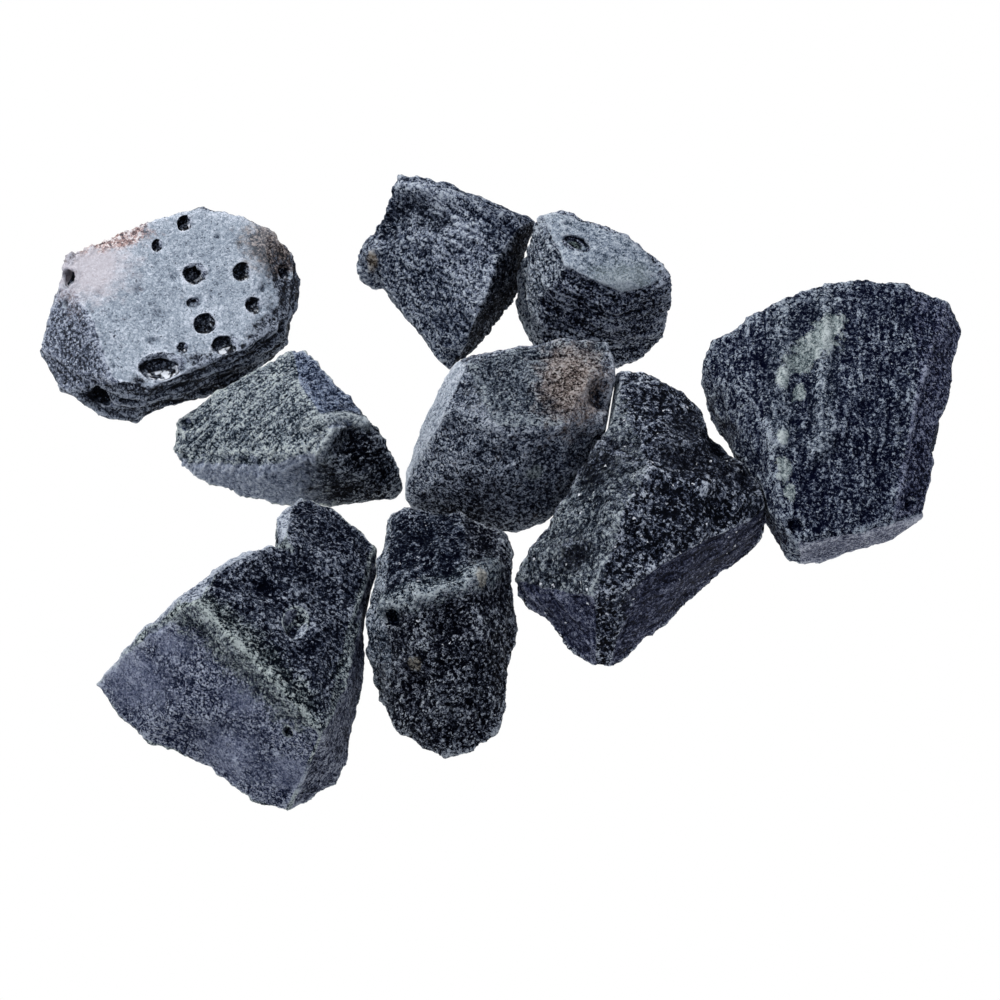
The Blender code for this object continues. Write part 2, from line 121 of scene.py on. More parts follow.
class Rock:
    """One stone being shaped: its CAD node, its piece, and what is known of each point of it."""

    def __init__(self, node):
        self.node = node
        self.piece = self.copy_of_node(node.replace("_stone", "_rock"))
        arrises, self.skin, hull = self.clean_skin()
        self.remesh()
        self.soften(3)
        mesh = self.piece.data
        spots = [vertex.co for vertex in mesh.vertices]
        self.arris = np.array([arrises.find(point)[2] for point in spots])
        self.sunk = np.array([hull.find_nearest(point)[3] for point in spots])
        self.ends = np.empty(len(mesh.edges) * 2, dtype=np.int64)
        mesh.edges.foreach_get("vertices", self.ends)
        flat = np.array([self.skin.find_nearest(point)[1] for point in spots])
        self.facing = unit(self.averaged(flat, 16))
        self.outward = unit(self.averaged(self.read("normal"), 12))

    def copy_of_node(self, name):
        """A copy of the node's solid, with its loose triangles joined."""
        piece = bpy.data.objects.new(name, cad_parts[self.node].data.copy())
        bpy.context.scene.collection.objects.link(piece)
        select_only(piece)
        bpy.ops.object.mode_set(mode="EDIT")
        bpy.ops.mesh.select_all(action="SELECT")
        bpy.ops.mesh.remove_doubles(threshold=0.01 * MM)
        bpy.ops.object.mode_set(mode="OBJECT")
        piece.data.materials.clear()
        return piece

    def clean_skin(self):
        """The solid before it is broken: marks along its outstanding edges, faces and hull."""
        clean = bmesh.new()
        clean.from_mesh(self.piece.data)
        faces = BVHTree.FromBMesh(clean)
        marks = []
        for edge in clean.edges:
            if edge.is_convex and edge.calc_face_angle(0) > math.radians(ARRIS):
                start, end = (vertex.co for vertex in edge.verts)
                count = max(1, int((end - start).length / TICK))
                marks += [start.lerp(end, (i + 0.5) / count) for i in range(count)]
        arrises = KDTree(len(marks))
        for index, mark in enumerate(marks):
            arrises.insert(mark, index)
        arrises.balance()
        outer = bmesh.ops.convex_hull(clean, input=clean.verts)
        kept = set(outer["geom"])
        bmesh.ops.delete(clean, geom=[f for f in clean.faces if f not in kept], context="FACES")
        hull = BVHTree.FromBMesh(clean)
        clean.free()
        return arrises, faces, hull

    def remesh(self):
        """Gives the stone an even mesh, as fine as its number of triangles lets it be."""
        area = sum(face.area for face in self.piece.data.polygons)
        modifier = self.piece.modifiers.new("Remesh", "REMESH")
        modifier.mode = "VOXEL"
        modifier.voxel_size = max(FINEST, math.sqrt(2 * area / TRIANGLES))
        self.apply(modifier)

    def soften(self, times, factor=0.5):
        modifier = self.piece.modifiers.new("Soften", "SMOOTH")
        modifier.iterations = times
        modifier.factor = factor
        self.apply(modifier)

    def apply(self, modifier):
        select_only(self.piece)
        bpy.ops.object.modifier_apply(modifier=modifier.name)

    # -- reading and moving the points --

    def read(self, what):
        values = np.empty(len(self.piece.data.vertices) * 3)
        self.piece.data.vertices.foreach_get(what, values)
        return values.reshape(-1, 3)

    def move_to(self, points):
        self.piece.data.vertices.foreach_set("co", points.ravel())
        self.piece.data.update()

    def averaged(self, values, rounds):
        """Evens values out with their neighbours' along the mesh's edges."""
        first, second = self.ends.reshape(-1, 2).T
        count = len(values)
        near = np.bincount(first, minlength=count) + np.bincount(second, minlength=count)
        columns = []
        for column in values.reshape(count, -1).T:
            for _ in range(rounds):
                total = np.bincount(first, column[second], count)
                total += np.bincount(second, column[first], count)
                column = (column + total) / (near + 1)
            columns.append(column)
        return np.stack(columns, axis=1).reshape(values.shape)

    def push(self, height, weights):
        """Moves the skin out by height, or in where it is negative, as far as weights say."""
        self.move_to(self.read("co") + self.outward * (weights * height)[:, None])

    def roughen(self, texture, height, level=0.5, weights=1.0, stretch=None, turn=(0, 0, 0)):
        """Moves the skin in and out by a noise.

        level is the part of the noise that leaves the skin where it was.  stretch draws the
        noise out along its three axes, which are turned by turn, in degrees.  The modifier only
        measures the noise, along X; the skin then moves along its evened-out normals, which keeps
        it from folding over itself at a sharp edge.
        """
        modifier = self.piece.modifiers.new("Roughen", "DISPLACE")
        modifier.texture = texture
        modifier.strength = height
        modifier.mid_level = level
        modifier.direction = "X"
        modifier.texture_coords = "LOCAL"
        guide = bpy.data.objects.new("guide", None)
        if stretch:
            bpy.context.scene.collection.objects.link(guide)
            guide.scale = stretch
            guide.rotation_euler = radians(turn)
            bpy.context.view_layer.update()
            modifier.texture_coords = "OBJECT"
            modifier.texture_coords_object = guide
        before = self.read("co")
        self.apply(modifier)
        heights = self.read("co")[:, 0] - before[:, 0]
        bpy.data.objects.remove(guide)
        self.move_to(before + self.outward * (weights * heights)[:, None])

    # -- choosing where --

    def edges(self, reach):
        """1 on the clean solid's outstanding edges, easing to 0 at reach from them."""
        return smooth_step(-self.arris, -reach, 0)

    def face(self, azimuth, elevation, low, high):
        """1 on the faces that look one way; low and high are the cosines where they begin."""
        turn, rise = radians((azimuth, elevation))
        way = np.array((math.cos(turn) * math.cos(rise), math.sin(turn) * math.cos(rise),
                        math.sin(rise)))
        return smooth_step(self.facing @ way, low, high)

    def spot(self, percent):
        """A point in the stone's box, given in percent of its length, width and height."""
        low, high = (np.array(corner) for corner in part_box(self.node))
        return low + (high - low) * np.array(percent) / 100

    def near(self, place, radius, stretch=(1, 1, 1)):
        """1 round a place, easing to 0 at radius from it, which stretch draws out by axis."""
        away = np.linalg.norm((self.read("co") - self.spot(place)) / np.array(stretch), axis=1)
        return smooth_step(-away, -radius, 0)

    def along(self, places, reach):
        """1 on a line from place to place, easing to 0 at reach from it."""
        points = self.read("co")
        away = np.full(len(points), np.inf)
        line = [self.spot(place) for place in places]
        for start, end in zip(line, line[1:]):
            run = end - start
            share = np.clip((points - start) @ run / (run @ run), 0, 1)
            away = np.minimum(away, np.linalg.norm(points - start - share[:, None] * run, axis=1))
        return smooth_step(-away, -reach, 0)

    # -- the usual order of work --

    def break_up(self, swell=1.6, flake=2.0, lump=0.8, chip=1.0, crumble=0.3, grain=0.3,
                 calm=0.0):
        """Breaks the skin.  Heights are in millimetres; calm is where the skin stays smooth."""
        rough = 1 - calm
        self.roughen(SWELL, swell * MM, 0.45)
        self.roughen(FLAKE, flake * MM, 0.35, rough)
        self.roughen(LUMP, lump * MM, 0.45, rough)
        self.roughen(CHIP, chip * MM, 0.65, self.edges(2.4 * MM))
        self.outward = unit(self.averaged(self.read("normal"), 4))
        self.roughen(CRUMBLE, crumble * MM, 0.5, np.maximum(self.edges(1.8 * MM), 0.7 * rough))
        self.roughen(GRAIN, grain * MM, 0.5, np.maximum(rough, 0.35))
        self.soften(1, 0.2)

    def stay_clear(self):
        """Draws the skin back where it has come nearer to another stone than to its own solid.

        Every stone does this, so two skins never meet, however rough they are.
        """
        corners, faces = [], []
        for name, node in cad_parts.items():
            if name != self.node:
                faces += [[len(corners) + i for i in face.vertices] for face in node.data.polygons]
                corners += [vertex.co for vertex in node.data.vertices]
        others = BVHTree.FromPolygons(corners, faces)
        points = self.read("co")
        for index, place in enumerate(map(Vector, points)):
            for _ in range(DRAWS):
                to_other = others.find_nearest(place, REACH)[3]
                foot, _, _, away = self.skin.find_nearest(place)
                if to_other is None or away + CLEARANCE <= to_other:
                    break
                place = place.lerp(foot, min(1, (away + CLEARANCE - to_other) / 2 / away))
            points[index] = place
        self.move_to(points)

    def mark(self, name, weights):
        """Keeps where something is on the mesh, for the finish to read."""
        attribute = self.piece.data.attributes.new(name, "FLOAT", "POINT")
        attribute.data.foreach_set("value", weights)

    def finish(self, material, slot):
        """Sets the stone down flat, marks its relief and puts it in its CAD's place."""
        self.stay_clear()
        points = self.read("co")
        points[:, 2] = np.maximum(points[:, 2], 0)
        self.move_to(points)
        normals = self.read("normal")
        # proud and crest measure the relief; the finishes read them to paint light on ridges and
        # shade in hollows
        proud = ((points - self.averaged(points, 8)) * normals).sum(axis=1)
        crest = ((points - self.averaged(points, 90)) * normals).sum(axis=1)
        self.mark("proud", np.clip(proud / (0.12 * MM), -2, 2))
        self.mark("crest", np.clip(crest / (1.0 * MM), -1.5, 1.2))
        self.mark("arris", self.edges(2.6 * MM))
        self.piece.data.materials.append(material)
        select_only(self.piece)
        bpy.ops.object.shade_smooth()
        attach(self.piece, self.node)
        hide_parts(self.node)


# ---- finishes -----------------------------------------------------------------------------------

def put(tree, kind, settings=None, sockets=None):
    """Adds a node.  settings are its own properties; sockets are values or links, by socket."""
    node = tree.nodes.new(kind)
    for key, value in (settings or {}).items():
        setattr(node, key, value)
    for key, value in (sockets or {}).items():
        if isinstance(value, bpy.types.NodeSocket):
            tree.links.new(value, node.inputs[key])
        else:
            node.inputs[key].default_value = value
    return node


class Coat:
    """A stone's finish being built up: its node tree and the layers laid on it so far.

    A layer is a colour, a height for the bump and a roughness.  A mask says where it lies.
    """

    def __init__(self, name):
        self.material = bpy.data.materials.new(name)
        self.material.use_nodes = True
        self.tree = self.material.node_tree
        self.place = put(self.tree, "ShaderNodeTexCoord").outputs["Object"]
        # What frays the borders of faces and patches, and what bends the outlines of crystals.
        self.fray = put(self.tree, "ShaderNodeTexNoise", None, {
            "Vector": self.place, "Scale": 1 / (3.4 * MM), "Detail": 5,
            "Roughness": 0.7}).outputs["Fac"]
        bend = put(self.tree, "ShaderNodeTexNoise", None, {
            "Vector": self.place, "Scale": 1 / (0.9 * MM), "Detail": 1}).outputs["Color"]
        self.bent = put(self.tree, "ShaderNodeVectorMath", {"operation": "MULTIPLY_ADD"}, {
            0: bend, 1: (1.6 * MM,) * 3, 2: self.place}).outputs[0]
        self.colour = self.height = self.rough = None

    # -- masks --

    def on(self, mark, fray=0.9, ease=0.15, full=1.0):
        """Where the shaping left a mark.

        fray is how ragged its border is, ease how slowly it fades there, full what it rises to.
        """
        left = put(self.tree, "ShaderNodeAttribute", {"attribute_name": mark}).outputs["Fac"]
        frayed = put(self.tree, "ShaderNodeMath", {"operation": "MULTIPLY_ADD"}, {
            0: self.fray, 1: fray, 2: left}).outputs[0]
        return put(self.tree, "ShaderNodeMapRange", {"interpolation_type": "SMOOTHSTEP"}, {
            "Value": frayed, "From Min": 0.5 + fray / 2 - ease, "From Max": 0.5 + fray / 2 + ease,
            "To Max": full}).outputs["Result"]

    def specks(self, share, spacing, radius, within=None):
        """Scattered spots, for dark grains and for painted glints: their share, spacing and radius,
        the last two in millimetres.
        """
        cells = put(self.tree, "ShaderNodeTexVoronoi", None, {
            "Vector": self.bent, "Scale": 1 / (spacing * MM)})
        draw = put(self.tree, "ShaderNodeSeparateColor", None, {"Color": cells.outputs["Color"]})
        chosen = put(self.tree, "ShaderNodeMath", {"operation": "LESS_THAN"}, {
            0: draw.outputs["Red"], 1: share}).outputs[0]
        core = put(self.tree, "ShaderNodeMapRange", {"interpolation_type": "SMOOTHSTEP"}, {
            "Value": cells.outputs["Distance"], "From Min": radius / spacing,
            "From Max": 0.6 * radius / spacing}).outputs["Result"]
        mask = put(self.tree, "ShaderNodeMath", {"operation": "MULTIPLY"}, {0: chosen, 1: core})
        if within:
            mask = put(self.tree, "ShaderNodeMath", {"operation": "MULTIPLY"}, {
                0: mask.outputs[0], 1: within})
        return mask.outputs[0]

    # -- layers --

    def felt(self, tones, cover, size=1.0, contrast=1.0, rough=(0.62, 0.8), streak=None):
        """The rock itself: a felt of pale feldspar needles in near-black glass.

        tones run from the glass to the brightest crystals, cover is how much of the face the
        crystals take, size is how coarse they are, rough is the roughness of the glass and of
        the crystals, streak is the stretch, turn and strength of a banding.  The rock is painted
        paler where it stands proud and darker where it lies in a hollow: partly rubbed wear, partly
        painted light on the ridges and painted shade in the hollows.

        Basalt's needles are a tenth to a half of a millimetre long.  The finest that show are
        drawn here: crystals of 0.62 mm and needles of 0.65 mm, which is coarser than the real
        ones.  Over them come clumps of 2.4 mm and clouds of 12 mm.
        """
        crystals = put(self.tree, "ShaderNodeTexVoronoi", None, {
            "Vector": self.bent, "Scale": 1 / (0.62 * size * MM)})
        crystal = put(self.tree, "ShaderNodeSeparateColor", None, {
            "Color": crystals.outputs["Color"]}).outputs["Red"]
        parts = [(0.7, crystal)]
        needles, clumps, clouds = (0.65 * size, 1.9, 1.2), (2.4 * size, 0.9, 2.2), (12, 0.7, 1)
        for spacing, amount, twist in (needles, clumps, clouds):
            parts.append((amount, put(self.tree, "ShaderNodeTexNoise", None, {
                "Vector": self.place, "Scale": 1 / (spacing * MM), "Detail": 3,
                "Roughness": 0.65, "Distortion": twist}).outputs["Fac"]))
        if streak:
            stretch, turn, strength = streak
            drawn = put(self.tree, "ShaderNodeMapping", {"vector_type": "TEXTURE"}, {
                "Vector": self.place, "Scale": stretch,
                "Rotation": radians(turn)}).outputs["Vector"]
            parts.append((strength, put(self.tree, "ShaderNodeTexNoise", None, {
                "Vector": drawn, "Scale": 1 / (1.5 * MM), "Detail": 3,
                "Distortion": 0.5}).outputs["Fac"]))
        level = cover - contrast * sum(amount for amount, _ in parts) / 2
        for amount, part in parts:
            level = put(self.tree, "ShaderNodeMath", {"operation": "MULTIPLY_ADD"}, {
                0: part, 1: amount * contrast, 2: level}).outputs[0]
        # Painted light and shade from the relief: paler on ridges and proud grains, darker in
        # hollows, partly rubbed wear; arris is edge wear
        for mark, amount in (("proud", 0.08), ("crest", 0.15), ("arris", 0.07)):
            left = put(self.tree, "ShaderNodeAttribute", {"attribute_name": mark}).outputs["Fac"]
            level = put(self.tree, "ShaderNodeMath", {"operation": "MULTIPLY_ADD"}, {
                0: left, 1: amount, 2: level}).outputs[0]
        ramp = put(self.tree, "ShaderNodeValToRGB", None, {"Fac": level})
        stops = ramp.color_ramp.elements
        for place, tone in zip((0.29, 0.46, 0.68, 0.98), tones):
            stop = stops.new(place)
            stop.color = linear(tone)
        stops.remove(stops[0])
        stops.remove(stops[-1])
        roughness = put(self.tree, "ShaderNodeMapRange", None, {
            "Value": level, "From Min": 0.3, "From Max": 0.8,
            "To Min": rough[0], "To Max": rough[1]}).outputs["Result"]
        return ramp.outputs["Color"], level, roughness

    def lay(self, layer, mask=None):
        """Lays a layer over what is there, where the mask lets it."""
        if self.colour is None:
            self.colour, self.height, self.rough = layer
            return
        colour, height, rough = layer
        self.stain(colour, mask)
        mixed = []
        for below, above in ((self.height, height), (self.rough, rough)):
            mixed.append(put(self.tree, "ShaderNodeMix", None, {
                "Factor": mask, "A": below, "B": above}).outputs["Result"])
        self.height, self.rough = mixed

    def stain(self, colour, mask):
        """Colours what is there, where the mask lets it."""
        tint = linear(colour) if isinstance(colour, str) else colour
        self.colour = put(self.tree, "ShaderNodeMix", {"data_type": "RGBA"}, {
            0: mask, 6: self.colour, 7: tint}).outputs[2]

    def settle(self, bump=0.5, specular=0.02):
        """Hands the layers to the shader and returns the material.

        bump is the height of the finest grain in millimetres.  Broken rock is a dull scatter of
        tiny facets with hardly any mirror-like reflection, so specular is far below its usual 0.5.
        """
        shader = self.tree.nodes["Principled BSDF"]
        normal = put(self.tree, "ShaderNodeBump", None, {
            "Height": self.height, "Strength": 0.8, "Distance": bump * MM}).outputs["Normal"]
        self.tree.links.new(self.colour, shader.inputs["Base Color"])
        self.tree.links.new(self.rough, shader.inputs["Roughness"])
        self.tree.links.new(normal, shader.inputs["Normal"])
        shader.inputs["Specular IOR Level"].default_value = specular
        return self.material


# ---- the nine stones ----------------------------------------------------------------------------
#
# Places are in percent of the stone's length, width and height.  Faces are given by the way they
# look: azimuth from +X towards +Y and elevation above the floor, in degrees, then the cosines
# between which the face begins.

def make_pitted():
    """Gas-blistered crust: a smooth pale skin over dark laminated rock, with a rusty rim."""
    rock = Rock("pitted_stone")
    skin = rock.face(0, 90, 0.84, 0.95) * smooth_step(-rock.sunk, -1.2 * MM, -0.4 * MM)
    side = 1 - np.maximum(skin, rock.face(0, 90, 0.45, 0.8))
    rock.push(1.6 * MM, rock.face(-155, -10, 0.2, 0.6))
    rock.roughen(LEDGE, 4.0 * MM, 0.5, side, (9, 9, 1.6))
    # Small bubbles, then dents where bubbles lie close under the skin.
    for place, radius in (((68, 83, 97), 1.6), ((86, 56, 80), 1.6),
                          ((37, 3, 30), 1.5), ((31, 12, 80), 1.2)):
        rock.push(-1.3 * MM, rock.near(place, radius * MM))
    for place in ((39, 52, 93), (24, 51, 92), (52, 60, 93), (47, 40, 88)):
        rock.push(-0.7 * MM, rock.near(place, 3.0 * MM))
    crust = rock.along(((12, 72, 86), (24, 82, 92), (40, 90, 99)), 4 * MM)
    rock.roughen(CRUMBLE, 1.8 * MM, 0.35, crust)
    rock.break_up(0.9, 0.8, 0.8, 1.0, 0.45, 0.3, calm=0.85 * skin)
    # The finish paints the holes dark by how deep they lie below the hull, partly as painted shade
    hole = smooth_step(rock.sunk, 0.9 * MM, 2.4 * MM)
    blister = rock.near((25, 9, 38), 7.5 * MM)
    glint = rock.near((29, 6, 38), 5.5 * MM)
    rock.push(-2.4 * MM, blister)
    hole = np.maximum(hole, blister)
    rim = rock.along(((92, 44, 66), (82, 24, 78), (58, 14, 79), (40, 4, 66)), 9 * MM)
    rock.mark("skin", rock.face(0, 90, 0.74, 0.93) * (1 - 0.62 * rim))
    rock.mark("left", rock.face(-148, 48, 0.75, 0.95))
    rock.mark("pink", rock.near((20, 66, 92), 24 * MM))
    rock.mark("brown", rock.near((88, 80, 88), 19 * MM))
    rock.mark("rust", rock.near((24, 84, 94), 22 * MM, (1.3, 0.5, 1)))
    rock.mark("hole", hole)
    # lit marks the hole walls that face the lamp, and the blister's wall, for a painted highlight
    rock.mark("lit", np.maximum(hole * rock.face(128, 42, 0.35, 0.65), glint))

    # Chilled lava crust.  The skin froze against air: dense, pale, a little shiny, with fine dark
    # specks.  The side is broken through its flow layers and reads as black and pale stripes.
    # Iron has rusted the rim pink, orange and white.  The bubbles are lined with black glass and
    # are painted darker the deeper they lie below the hull, partly as painted shade, and the far
    # wall of each holds a painted bright reflection.
    coat = Coat("Blistered_basalt")
    coat.lay(coat.felt(("#01030a", "#1c2230", "#59616f", "#aab2be"), 0.46,
                       streak=((8, 8, 1.0), (0, 0, 0), 1.8)))
    coat.lay(coat.felt(("#0b0f19", "#373e4d", "#747d90", "#bfc6d2"), 0.53, 1.0, 0.9),
             coat.on("left", 1.8))
    skin = coat.on("skin", 1.7)
    coat.lay(coat.felt(("#3e4754", "#7f8a97", "#9ea9b4", "#d8dee7"), 0.62, 0.9, 0.55,
                       (0.34, 0.5)), skin)
    coat.stain("#343c49", coat.specks(0.3, 1.5, 0.36, skin))
    coat.stain("#d3c8ca", coat.on("pink", 1.4, 0.4, 0.6))
    coat.lay(coat.felt(("#120f10", "#493f3c", "#7d716b", "#b9ada4"), 0.42, 1.2),
             coat.on("brown", 1.6, 0.3, 0.8))
    coat.lay(coat.felt(("#3f3133", "#8d6a60", "#bb9a92", "#efe7e4"), 0.55, 1.6, 1.2),
             coat.on("rust", 1.5, 0.25, 0.85))
    # Bubble lining: black glass, with painted shade deepening the dark
    hole = coat.on("hole", 0.5)
    coat.lay(coat.felt(("#05070d", "#1f2532", "#4d5563", "#a8b0bb"), 0.53, 1.2, 1.1,
                       (0.25, 0.4)), hole)
    # Painted highlight: white spots on the bubble walls that face the light
    coat.stain("#eef2f8", coat.specks(0.8, 2.4, 1.5, coat.on("lit", 0.6)))
    return rock, coat.settle(0.3, 0.15), "blistered_basalt"


def make_wedge():
    """Grey-green dust of crushed feldspar over a dark wedge, with a broken nose painted black as
    shade.
    """
    rock = Rock("wedge_stone")
    blade = ((60, 26, 96), (68, 30, 100), (78, 38, 88), (84, 36, 78))
    rock.push(0.9 * MM, rock.face(-20, -5, 0.0, 0.4))
    rock.push(1.4 * MM, rock.along(blade, 3.5 * MM))
    rock.push(-2.4 * MM, rock.near((82, 22, 84), 9 * MM))
    rock.push(-1.8 * MM, rock.near((63, 8, 66), 8 * MM))
    rock.roughen(LEDGE, 1.3 * MM, 0.5, 1.0, (7, 1, 3), (0, 0, 38))
    rock.break_up(1.4, 1.2, 0.6)
    rock.mark("flank", rock.face(43, 59, 0.8, 0.96))
    rock.mark("heel", rock.face(-115, 13, 0.8, 0.96))
    # nose: the front-right side turned from the light, painted near-black as shade
    rock.mark("nose", rock.near((88, 6, 50), 40 * MM))
    rock.mark("blade", rock.along(blade, 5 * MM))

    # Basalt that slid along a fault: ground feldspar and chlorite dust it grey-green in slanting
    # streaks.  The heel is a polished slip face, lilac and even; the nose, the front-right side
    # turned from the light, is a broken face painted near-black as shade.
    coat = Coat("Green_dusted_basalt")
    coat.lay(coat.felt(("#151c25", "#4d5864", "#929ca5", "#ccd4d1"), 0.52,
                       streak=((8, 1, 3), (0, 0, 38), 0.8)))
    coat.lay(coat.felt(("#141b2a", "#3f495f", "#7c89a1", "#b4becc"), 0.5), coat.on("flank"))
    coat.lay(coat.felt(("#3a4254", "#6d7688", "#959eae", "#c6cdd7"), 0.6, 1.0, 0.6),
             coat.on("heel", 1.4))
    # Painted shade on the nose
    coat.lay(coat.felt(("#000005", "#0f131c", "#4c5360", "#b3bac0"), 0.42, 1.2),
             coat.on("nose", 1.2, 0.25))
    coat.lay(coat.felt(("#2b333c", "#727d84", "#a5aeb1", "#d3dad8"), 0.55),
             coat.on("blade", 1.5, 0.3, 0.7))
    return rock, coat.settle(), "green_dusted_basalt"


def make_pointed():
    """A cleanly split face with slanting cleavage steps; its right side is painted almost black as
    shade.
    """
    rock = Rock("pointed_stone")
    hollow = rock.along(((16, 76, 70), (30, 80, 92), (48, 72, 88)), 8 * MM)
    rock.push(-3.2 * MM, hollow)
    rock.push(1.8 * MM, rock.along(((20, 92, 95), (45, 88, 100), (80, 74, 90)), 4 * MM))
    rock.roughen(LEDGE, 1.6 * MM, 0.5, 1.0, (5, 1, 1.4), (0, 20, -32))
    rock.break_up(1.6, 1.6)
    rock.mark("crown", rock.face(-125, 66, 0.85, 0.98))
    # side: the face turned from the light, painted almost black as shade
    rock.mark("side", rock.face(-29, 4, 0.55, 0.85))
    rock.mark("hollow", hollow)
    rock.mark("ochre", rock.near((9, 62, 46), 6 * MM, (0.7, 1, 1.9)))

    # Basalt split along its grain: blue-grey, matt, with slanting steps.  The break across the
    # grain on the right is painted almost black as shade, since it is turned from the light, and
    # the hollow under the crest is painted darker as shade.  One chip is stained ochre, and a few
    # white specks are painted in as glints.
    coat = Coat("Grey_fractured_basalt")
    streak = ((6, 1, 2), (0, 20, -32), 0.8)
    coat.lay(coat.felt(("#060b19", "#2c3549", "#737d8f", "#bcc4cd"), 0.47, streak=streak))
    coat.lay(coat.felt(("#0e1421", "#434c5e", "#8891a3", "#c9d1d9"), 0.55, streak=streak),
             coat.on("crown"))
    # Painted shade in the hollow under the crest
    coat.lay(coat.felt(("#02050f", "#161d2d", "#535d6e", "#a8b0ba"), 0.43, streak=streak),
             coat.on("hollow", 1.8, 0.4, 0.8))
    # Painted shade on the right side
    coat.lay(coat.felt(("#010208", "#0f131d", "#434a57", "#9aa1aa"), 0.4), coat.on("side"))
    coat.lay(coat.felt(("#2f2925", "#7d705f", "#a3947e", "#cfc6b8"), 0.55),
             coat.on("ochre", 1.2, 0.25, 0.8))
    # Painted glints: a few white specks
    coat.stain("#e6eaf0", coat.specks(0.04, 1.8, 0.35))
    return rock, coat.settle(), "grey_fractured_basalt"


def make_block():
    """A squarish lump: pale crushed dust and painted light on its top, black banded rock and
    painted shade down its front.
    """
    rock = Rock("block_stone")
    top = rock.face(-78, 82, 0.88, 0.97)
    rock.roughen(LEDGE, 2.0 * MM, 0.6, 1 - top, (7, 7, 1.2), (0, 12, 0))
    rock.push(-2.0 * MM, rock.along(((30, 34, 92), (55, 24, 88), (80, 20, 80)), 5 * MM))
    rock.push(0.8 * MM, rock.face(30, 0, 0.2, 0.6))
    rock.push(-1.6 * MM, rock.near((97, 22, 50), 8 * MM))
    rock.break_up(1.4, 1.8, 0.9, calm=0.6 * top)
    pit = smooth_step(rock.sunk, 1.0 * MM, 2.0 * MM) * rock.near((34, 76, 90), 14 * MM)
    rock.mark("left", rock.face(-160, 26, 0.8, 0.95))
    # dust: the top, where dust and painted light make it pale
    rock.mark("dust", rock.face(-78, 84, 0.78, 0.98))
    rock.mark("green", rock.near((74, 36, 94), 15 * MM, (1.4, 0.6, 1)) * top)
    rock.mark("pit", pit)

    # Banded basalt.  Its top was ground to pale, dull, swept dust with a green breath of
    # chlorite, and is painted paler still as the face turned to the light; its front is freshly
    # broken across the bands, black with short pale lines, and painted darker as shade.
    coat = Coat("Pale_topped_basalt")
    # The base, seen on the front: black banded rock with painted shade
    coat.lay(coat.felt(("#000109", "#1f2639", "#687187", "#c2cad5"), 0.46, 1.0, 1.3,
                       streak=((7, 7, 0.9), (0, 12, 0), 0.8)))
    coat.lay(coat.felt(("#080d1b", "#3c4658", "#8892a1", "#cdd5dc"), 0.55, 1.0, 1.2),
             coat.on("left", 1.3))
    # The top: dust, with painted light
    coat.lay(coat.felt(("#323d4b", "#707c8a", "#98a3b0", "#ced6dd"), 0.57, 0.9, 0.75,
                       streak=((5, 1, 1), (0, 0, -28), 0.7)), coat.on("dust", 2.4))
    coat.stain("#929e96", coat.on("green", 1.8, 0.45, 0.3))
    coat.lay(coat.felt(("#05080d", "#2c353b", "#626e6c", "#8f9b95"), 0.5), coat.on("pit", 0.4))
    return rock, coat.settle(), "pale_topped_basalt"


def make_centre():
    """A weathered lump: flat top with a warm iron stain, pale worn and painted-lit bevel, foot
    painted in shade, chipped right edge.
    """
    rock = Rock("centre_stone")
    bevel = rock.face(166, 23, 0.82, 0.95)
    chipped = np.maximum(rock.near((92, 62, 88), 7 * MM), rock.near((88, 38, 70), 8 * MM))
    rock.roughen(LUMP, 4.5 * MM, 0.72, chipped)
    rock.push(0.8 * MM, rock.along(((22, 52, 78), (46, 40, 92), (74, 38, 94)), 5 * MM))
    rock.push(-0.9 * MM, rock.along(((60, 85, 95), (76, 86, 97)), 1.2 * MM))    # a crack
    rock.break_up(1.4, 1.6, 0.7, calm=0.6 * bevel)
    rock.mark("top", rock.face(0, 90, 0.82, 0.97))
    # foot: the lower front, painted darker as shade
    rock.mark("foot", rock.face(-103, 14, 0.84, 0.97))
    # worn: the bevel, worn pale and painted lit
    rock.mark("worn", rock.face(166, 23, 0.76, 0.95))
    rock.mark("warm", rock.near((80, 66, 98), 22 * MM, (0.9, 1.2, 1)))
    rock.mark("fleck", rock.near((62, 20, 60), 5 * MM))

    # Weathered basalt: an even, dull, greenish grey on top, coarser towards the foot and painted
    # darker there as shade.  Iron in it has weathered to a warm brown patch, and the bevel is worn
    # pale and smooth and painted paler still as the face turned to the light.
    coat = Coat("Warm_patched_basalt")
    coat.lay(coat.felt(("#060a17", "#323b4c", "#7e8796", "#c3cad2"), 0.49, 1.0, 1.1))
    coat.lay(coat.felt(("#0d121c", "#373f4c", "#727b87", "#afb8bb"), 0.48, 0.9), coat.on("top"))
    # Painted shade towards the foot
    coat.lay(coat.felt(("#02040e", "#242b3a", "#6b7382", "#b9c1cc"), 0.46, 1.0, 1.3),
             coat.on("foot", 1.2))
    # The bevel: wear, with painted light
    coat.lay(coat.felt(("#3f4855", "#8a93a0", "#aeb7c2", "#d9dfe6"), 0.61, 0.9, 0.75),
             coat.on("worn"))
    coat.lay(coat.felt(("#1a1615", "#64574f", "#9a897f", "#cdc2ba"), 0.54, 0.9),
             coat.on("warm", 1.5, 0.45, 0.8))
    coat.lay(coat.felt(("#262d33", "#6f7a7c", "#9aa5a3", "#c9d1ce"), 0.54),
             coat.on("fleck", 1.8, 0.3, 0.7))
    return rock, coat.settle(), "warm_patched_basalt"


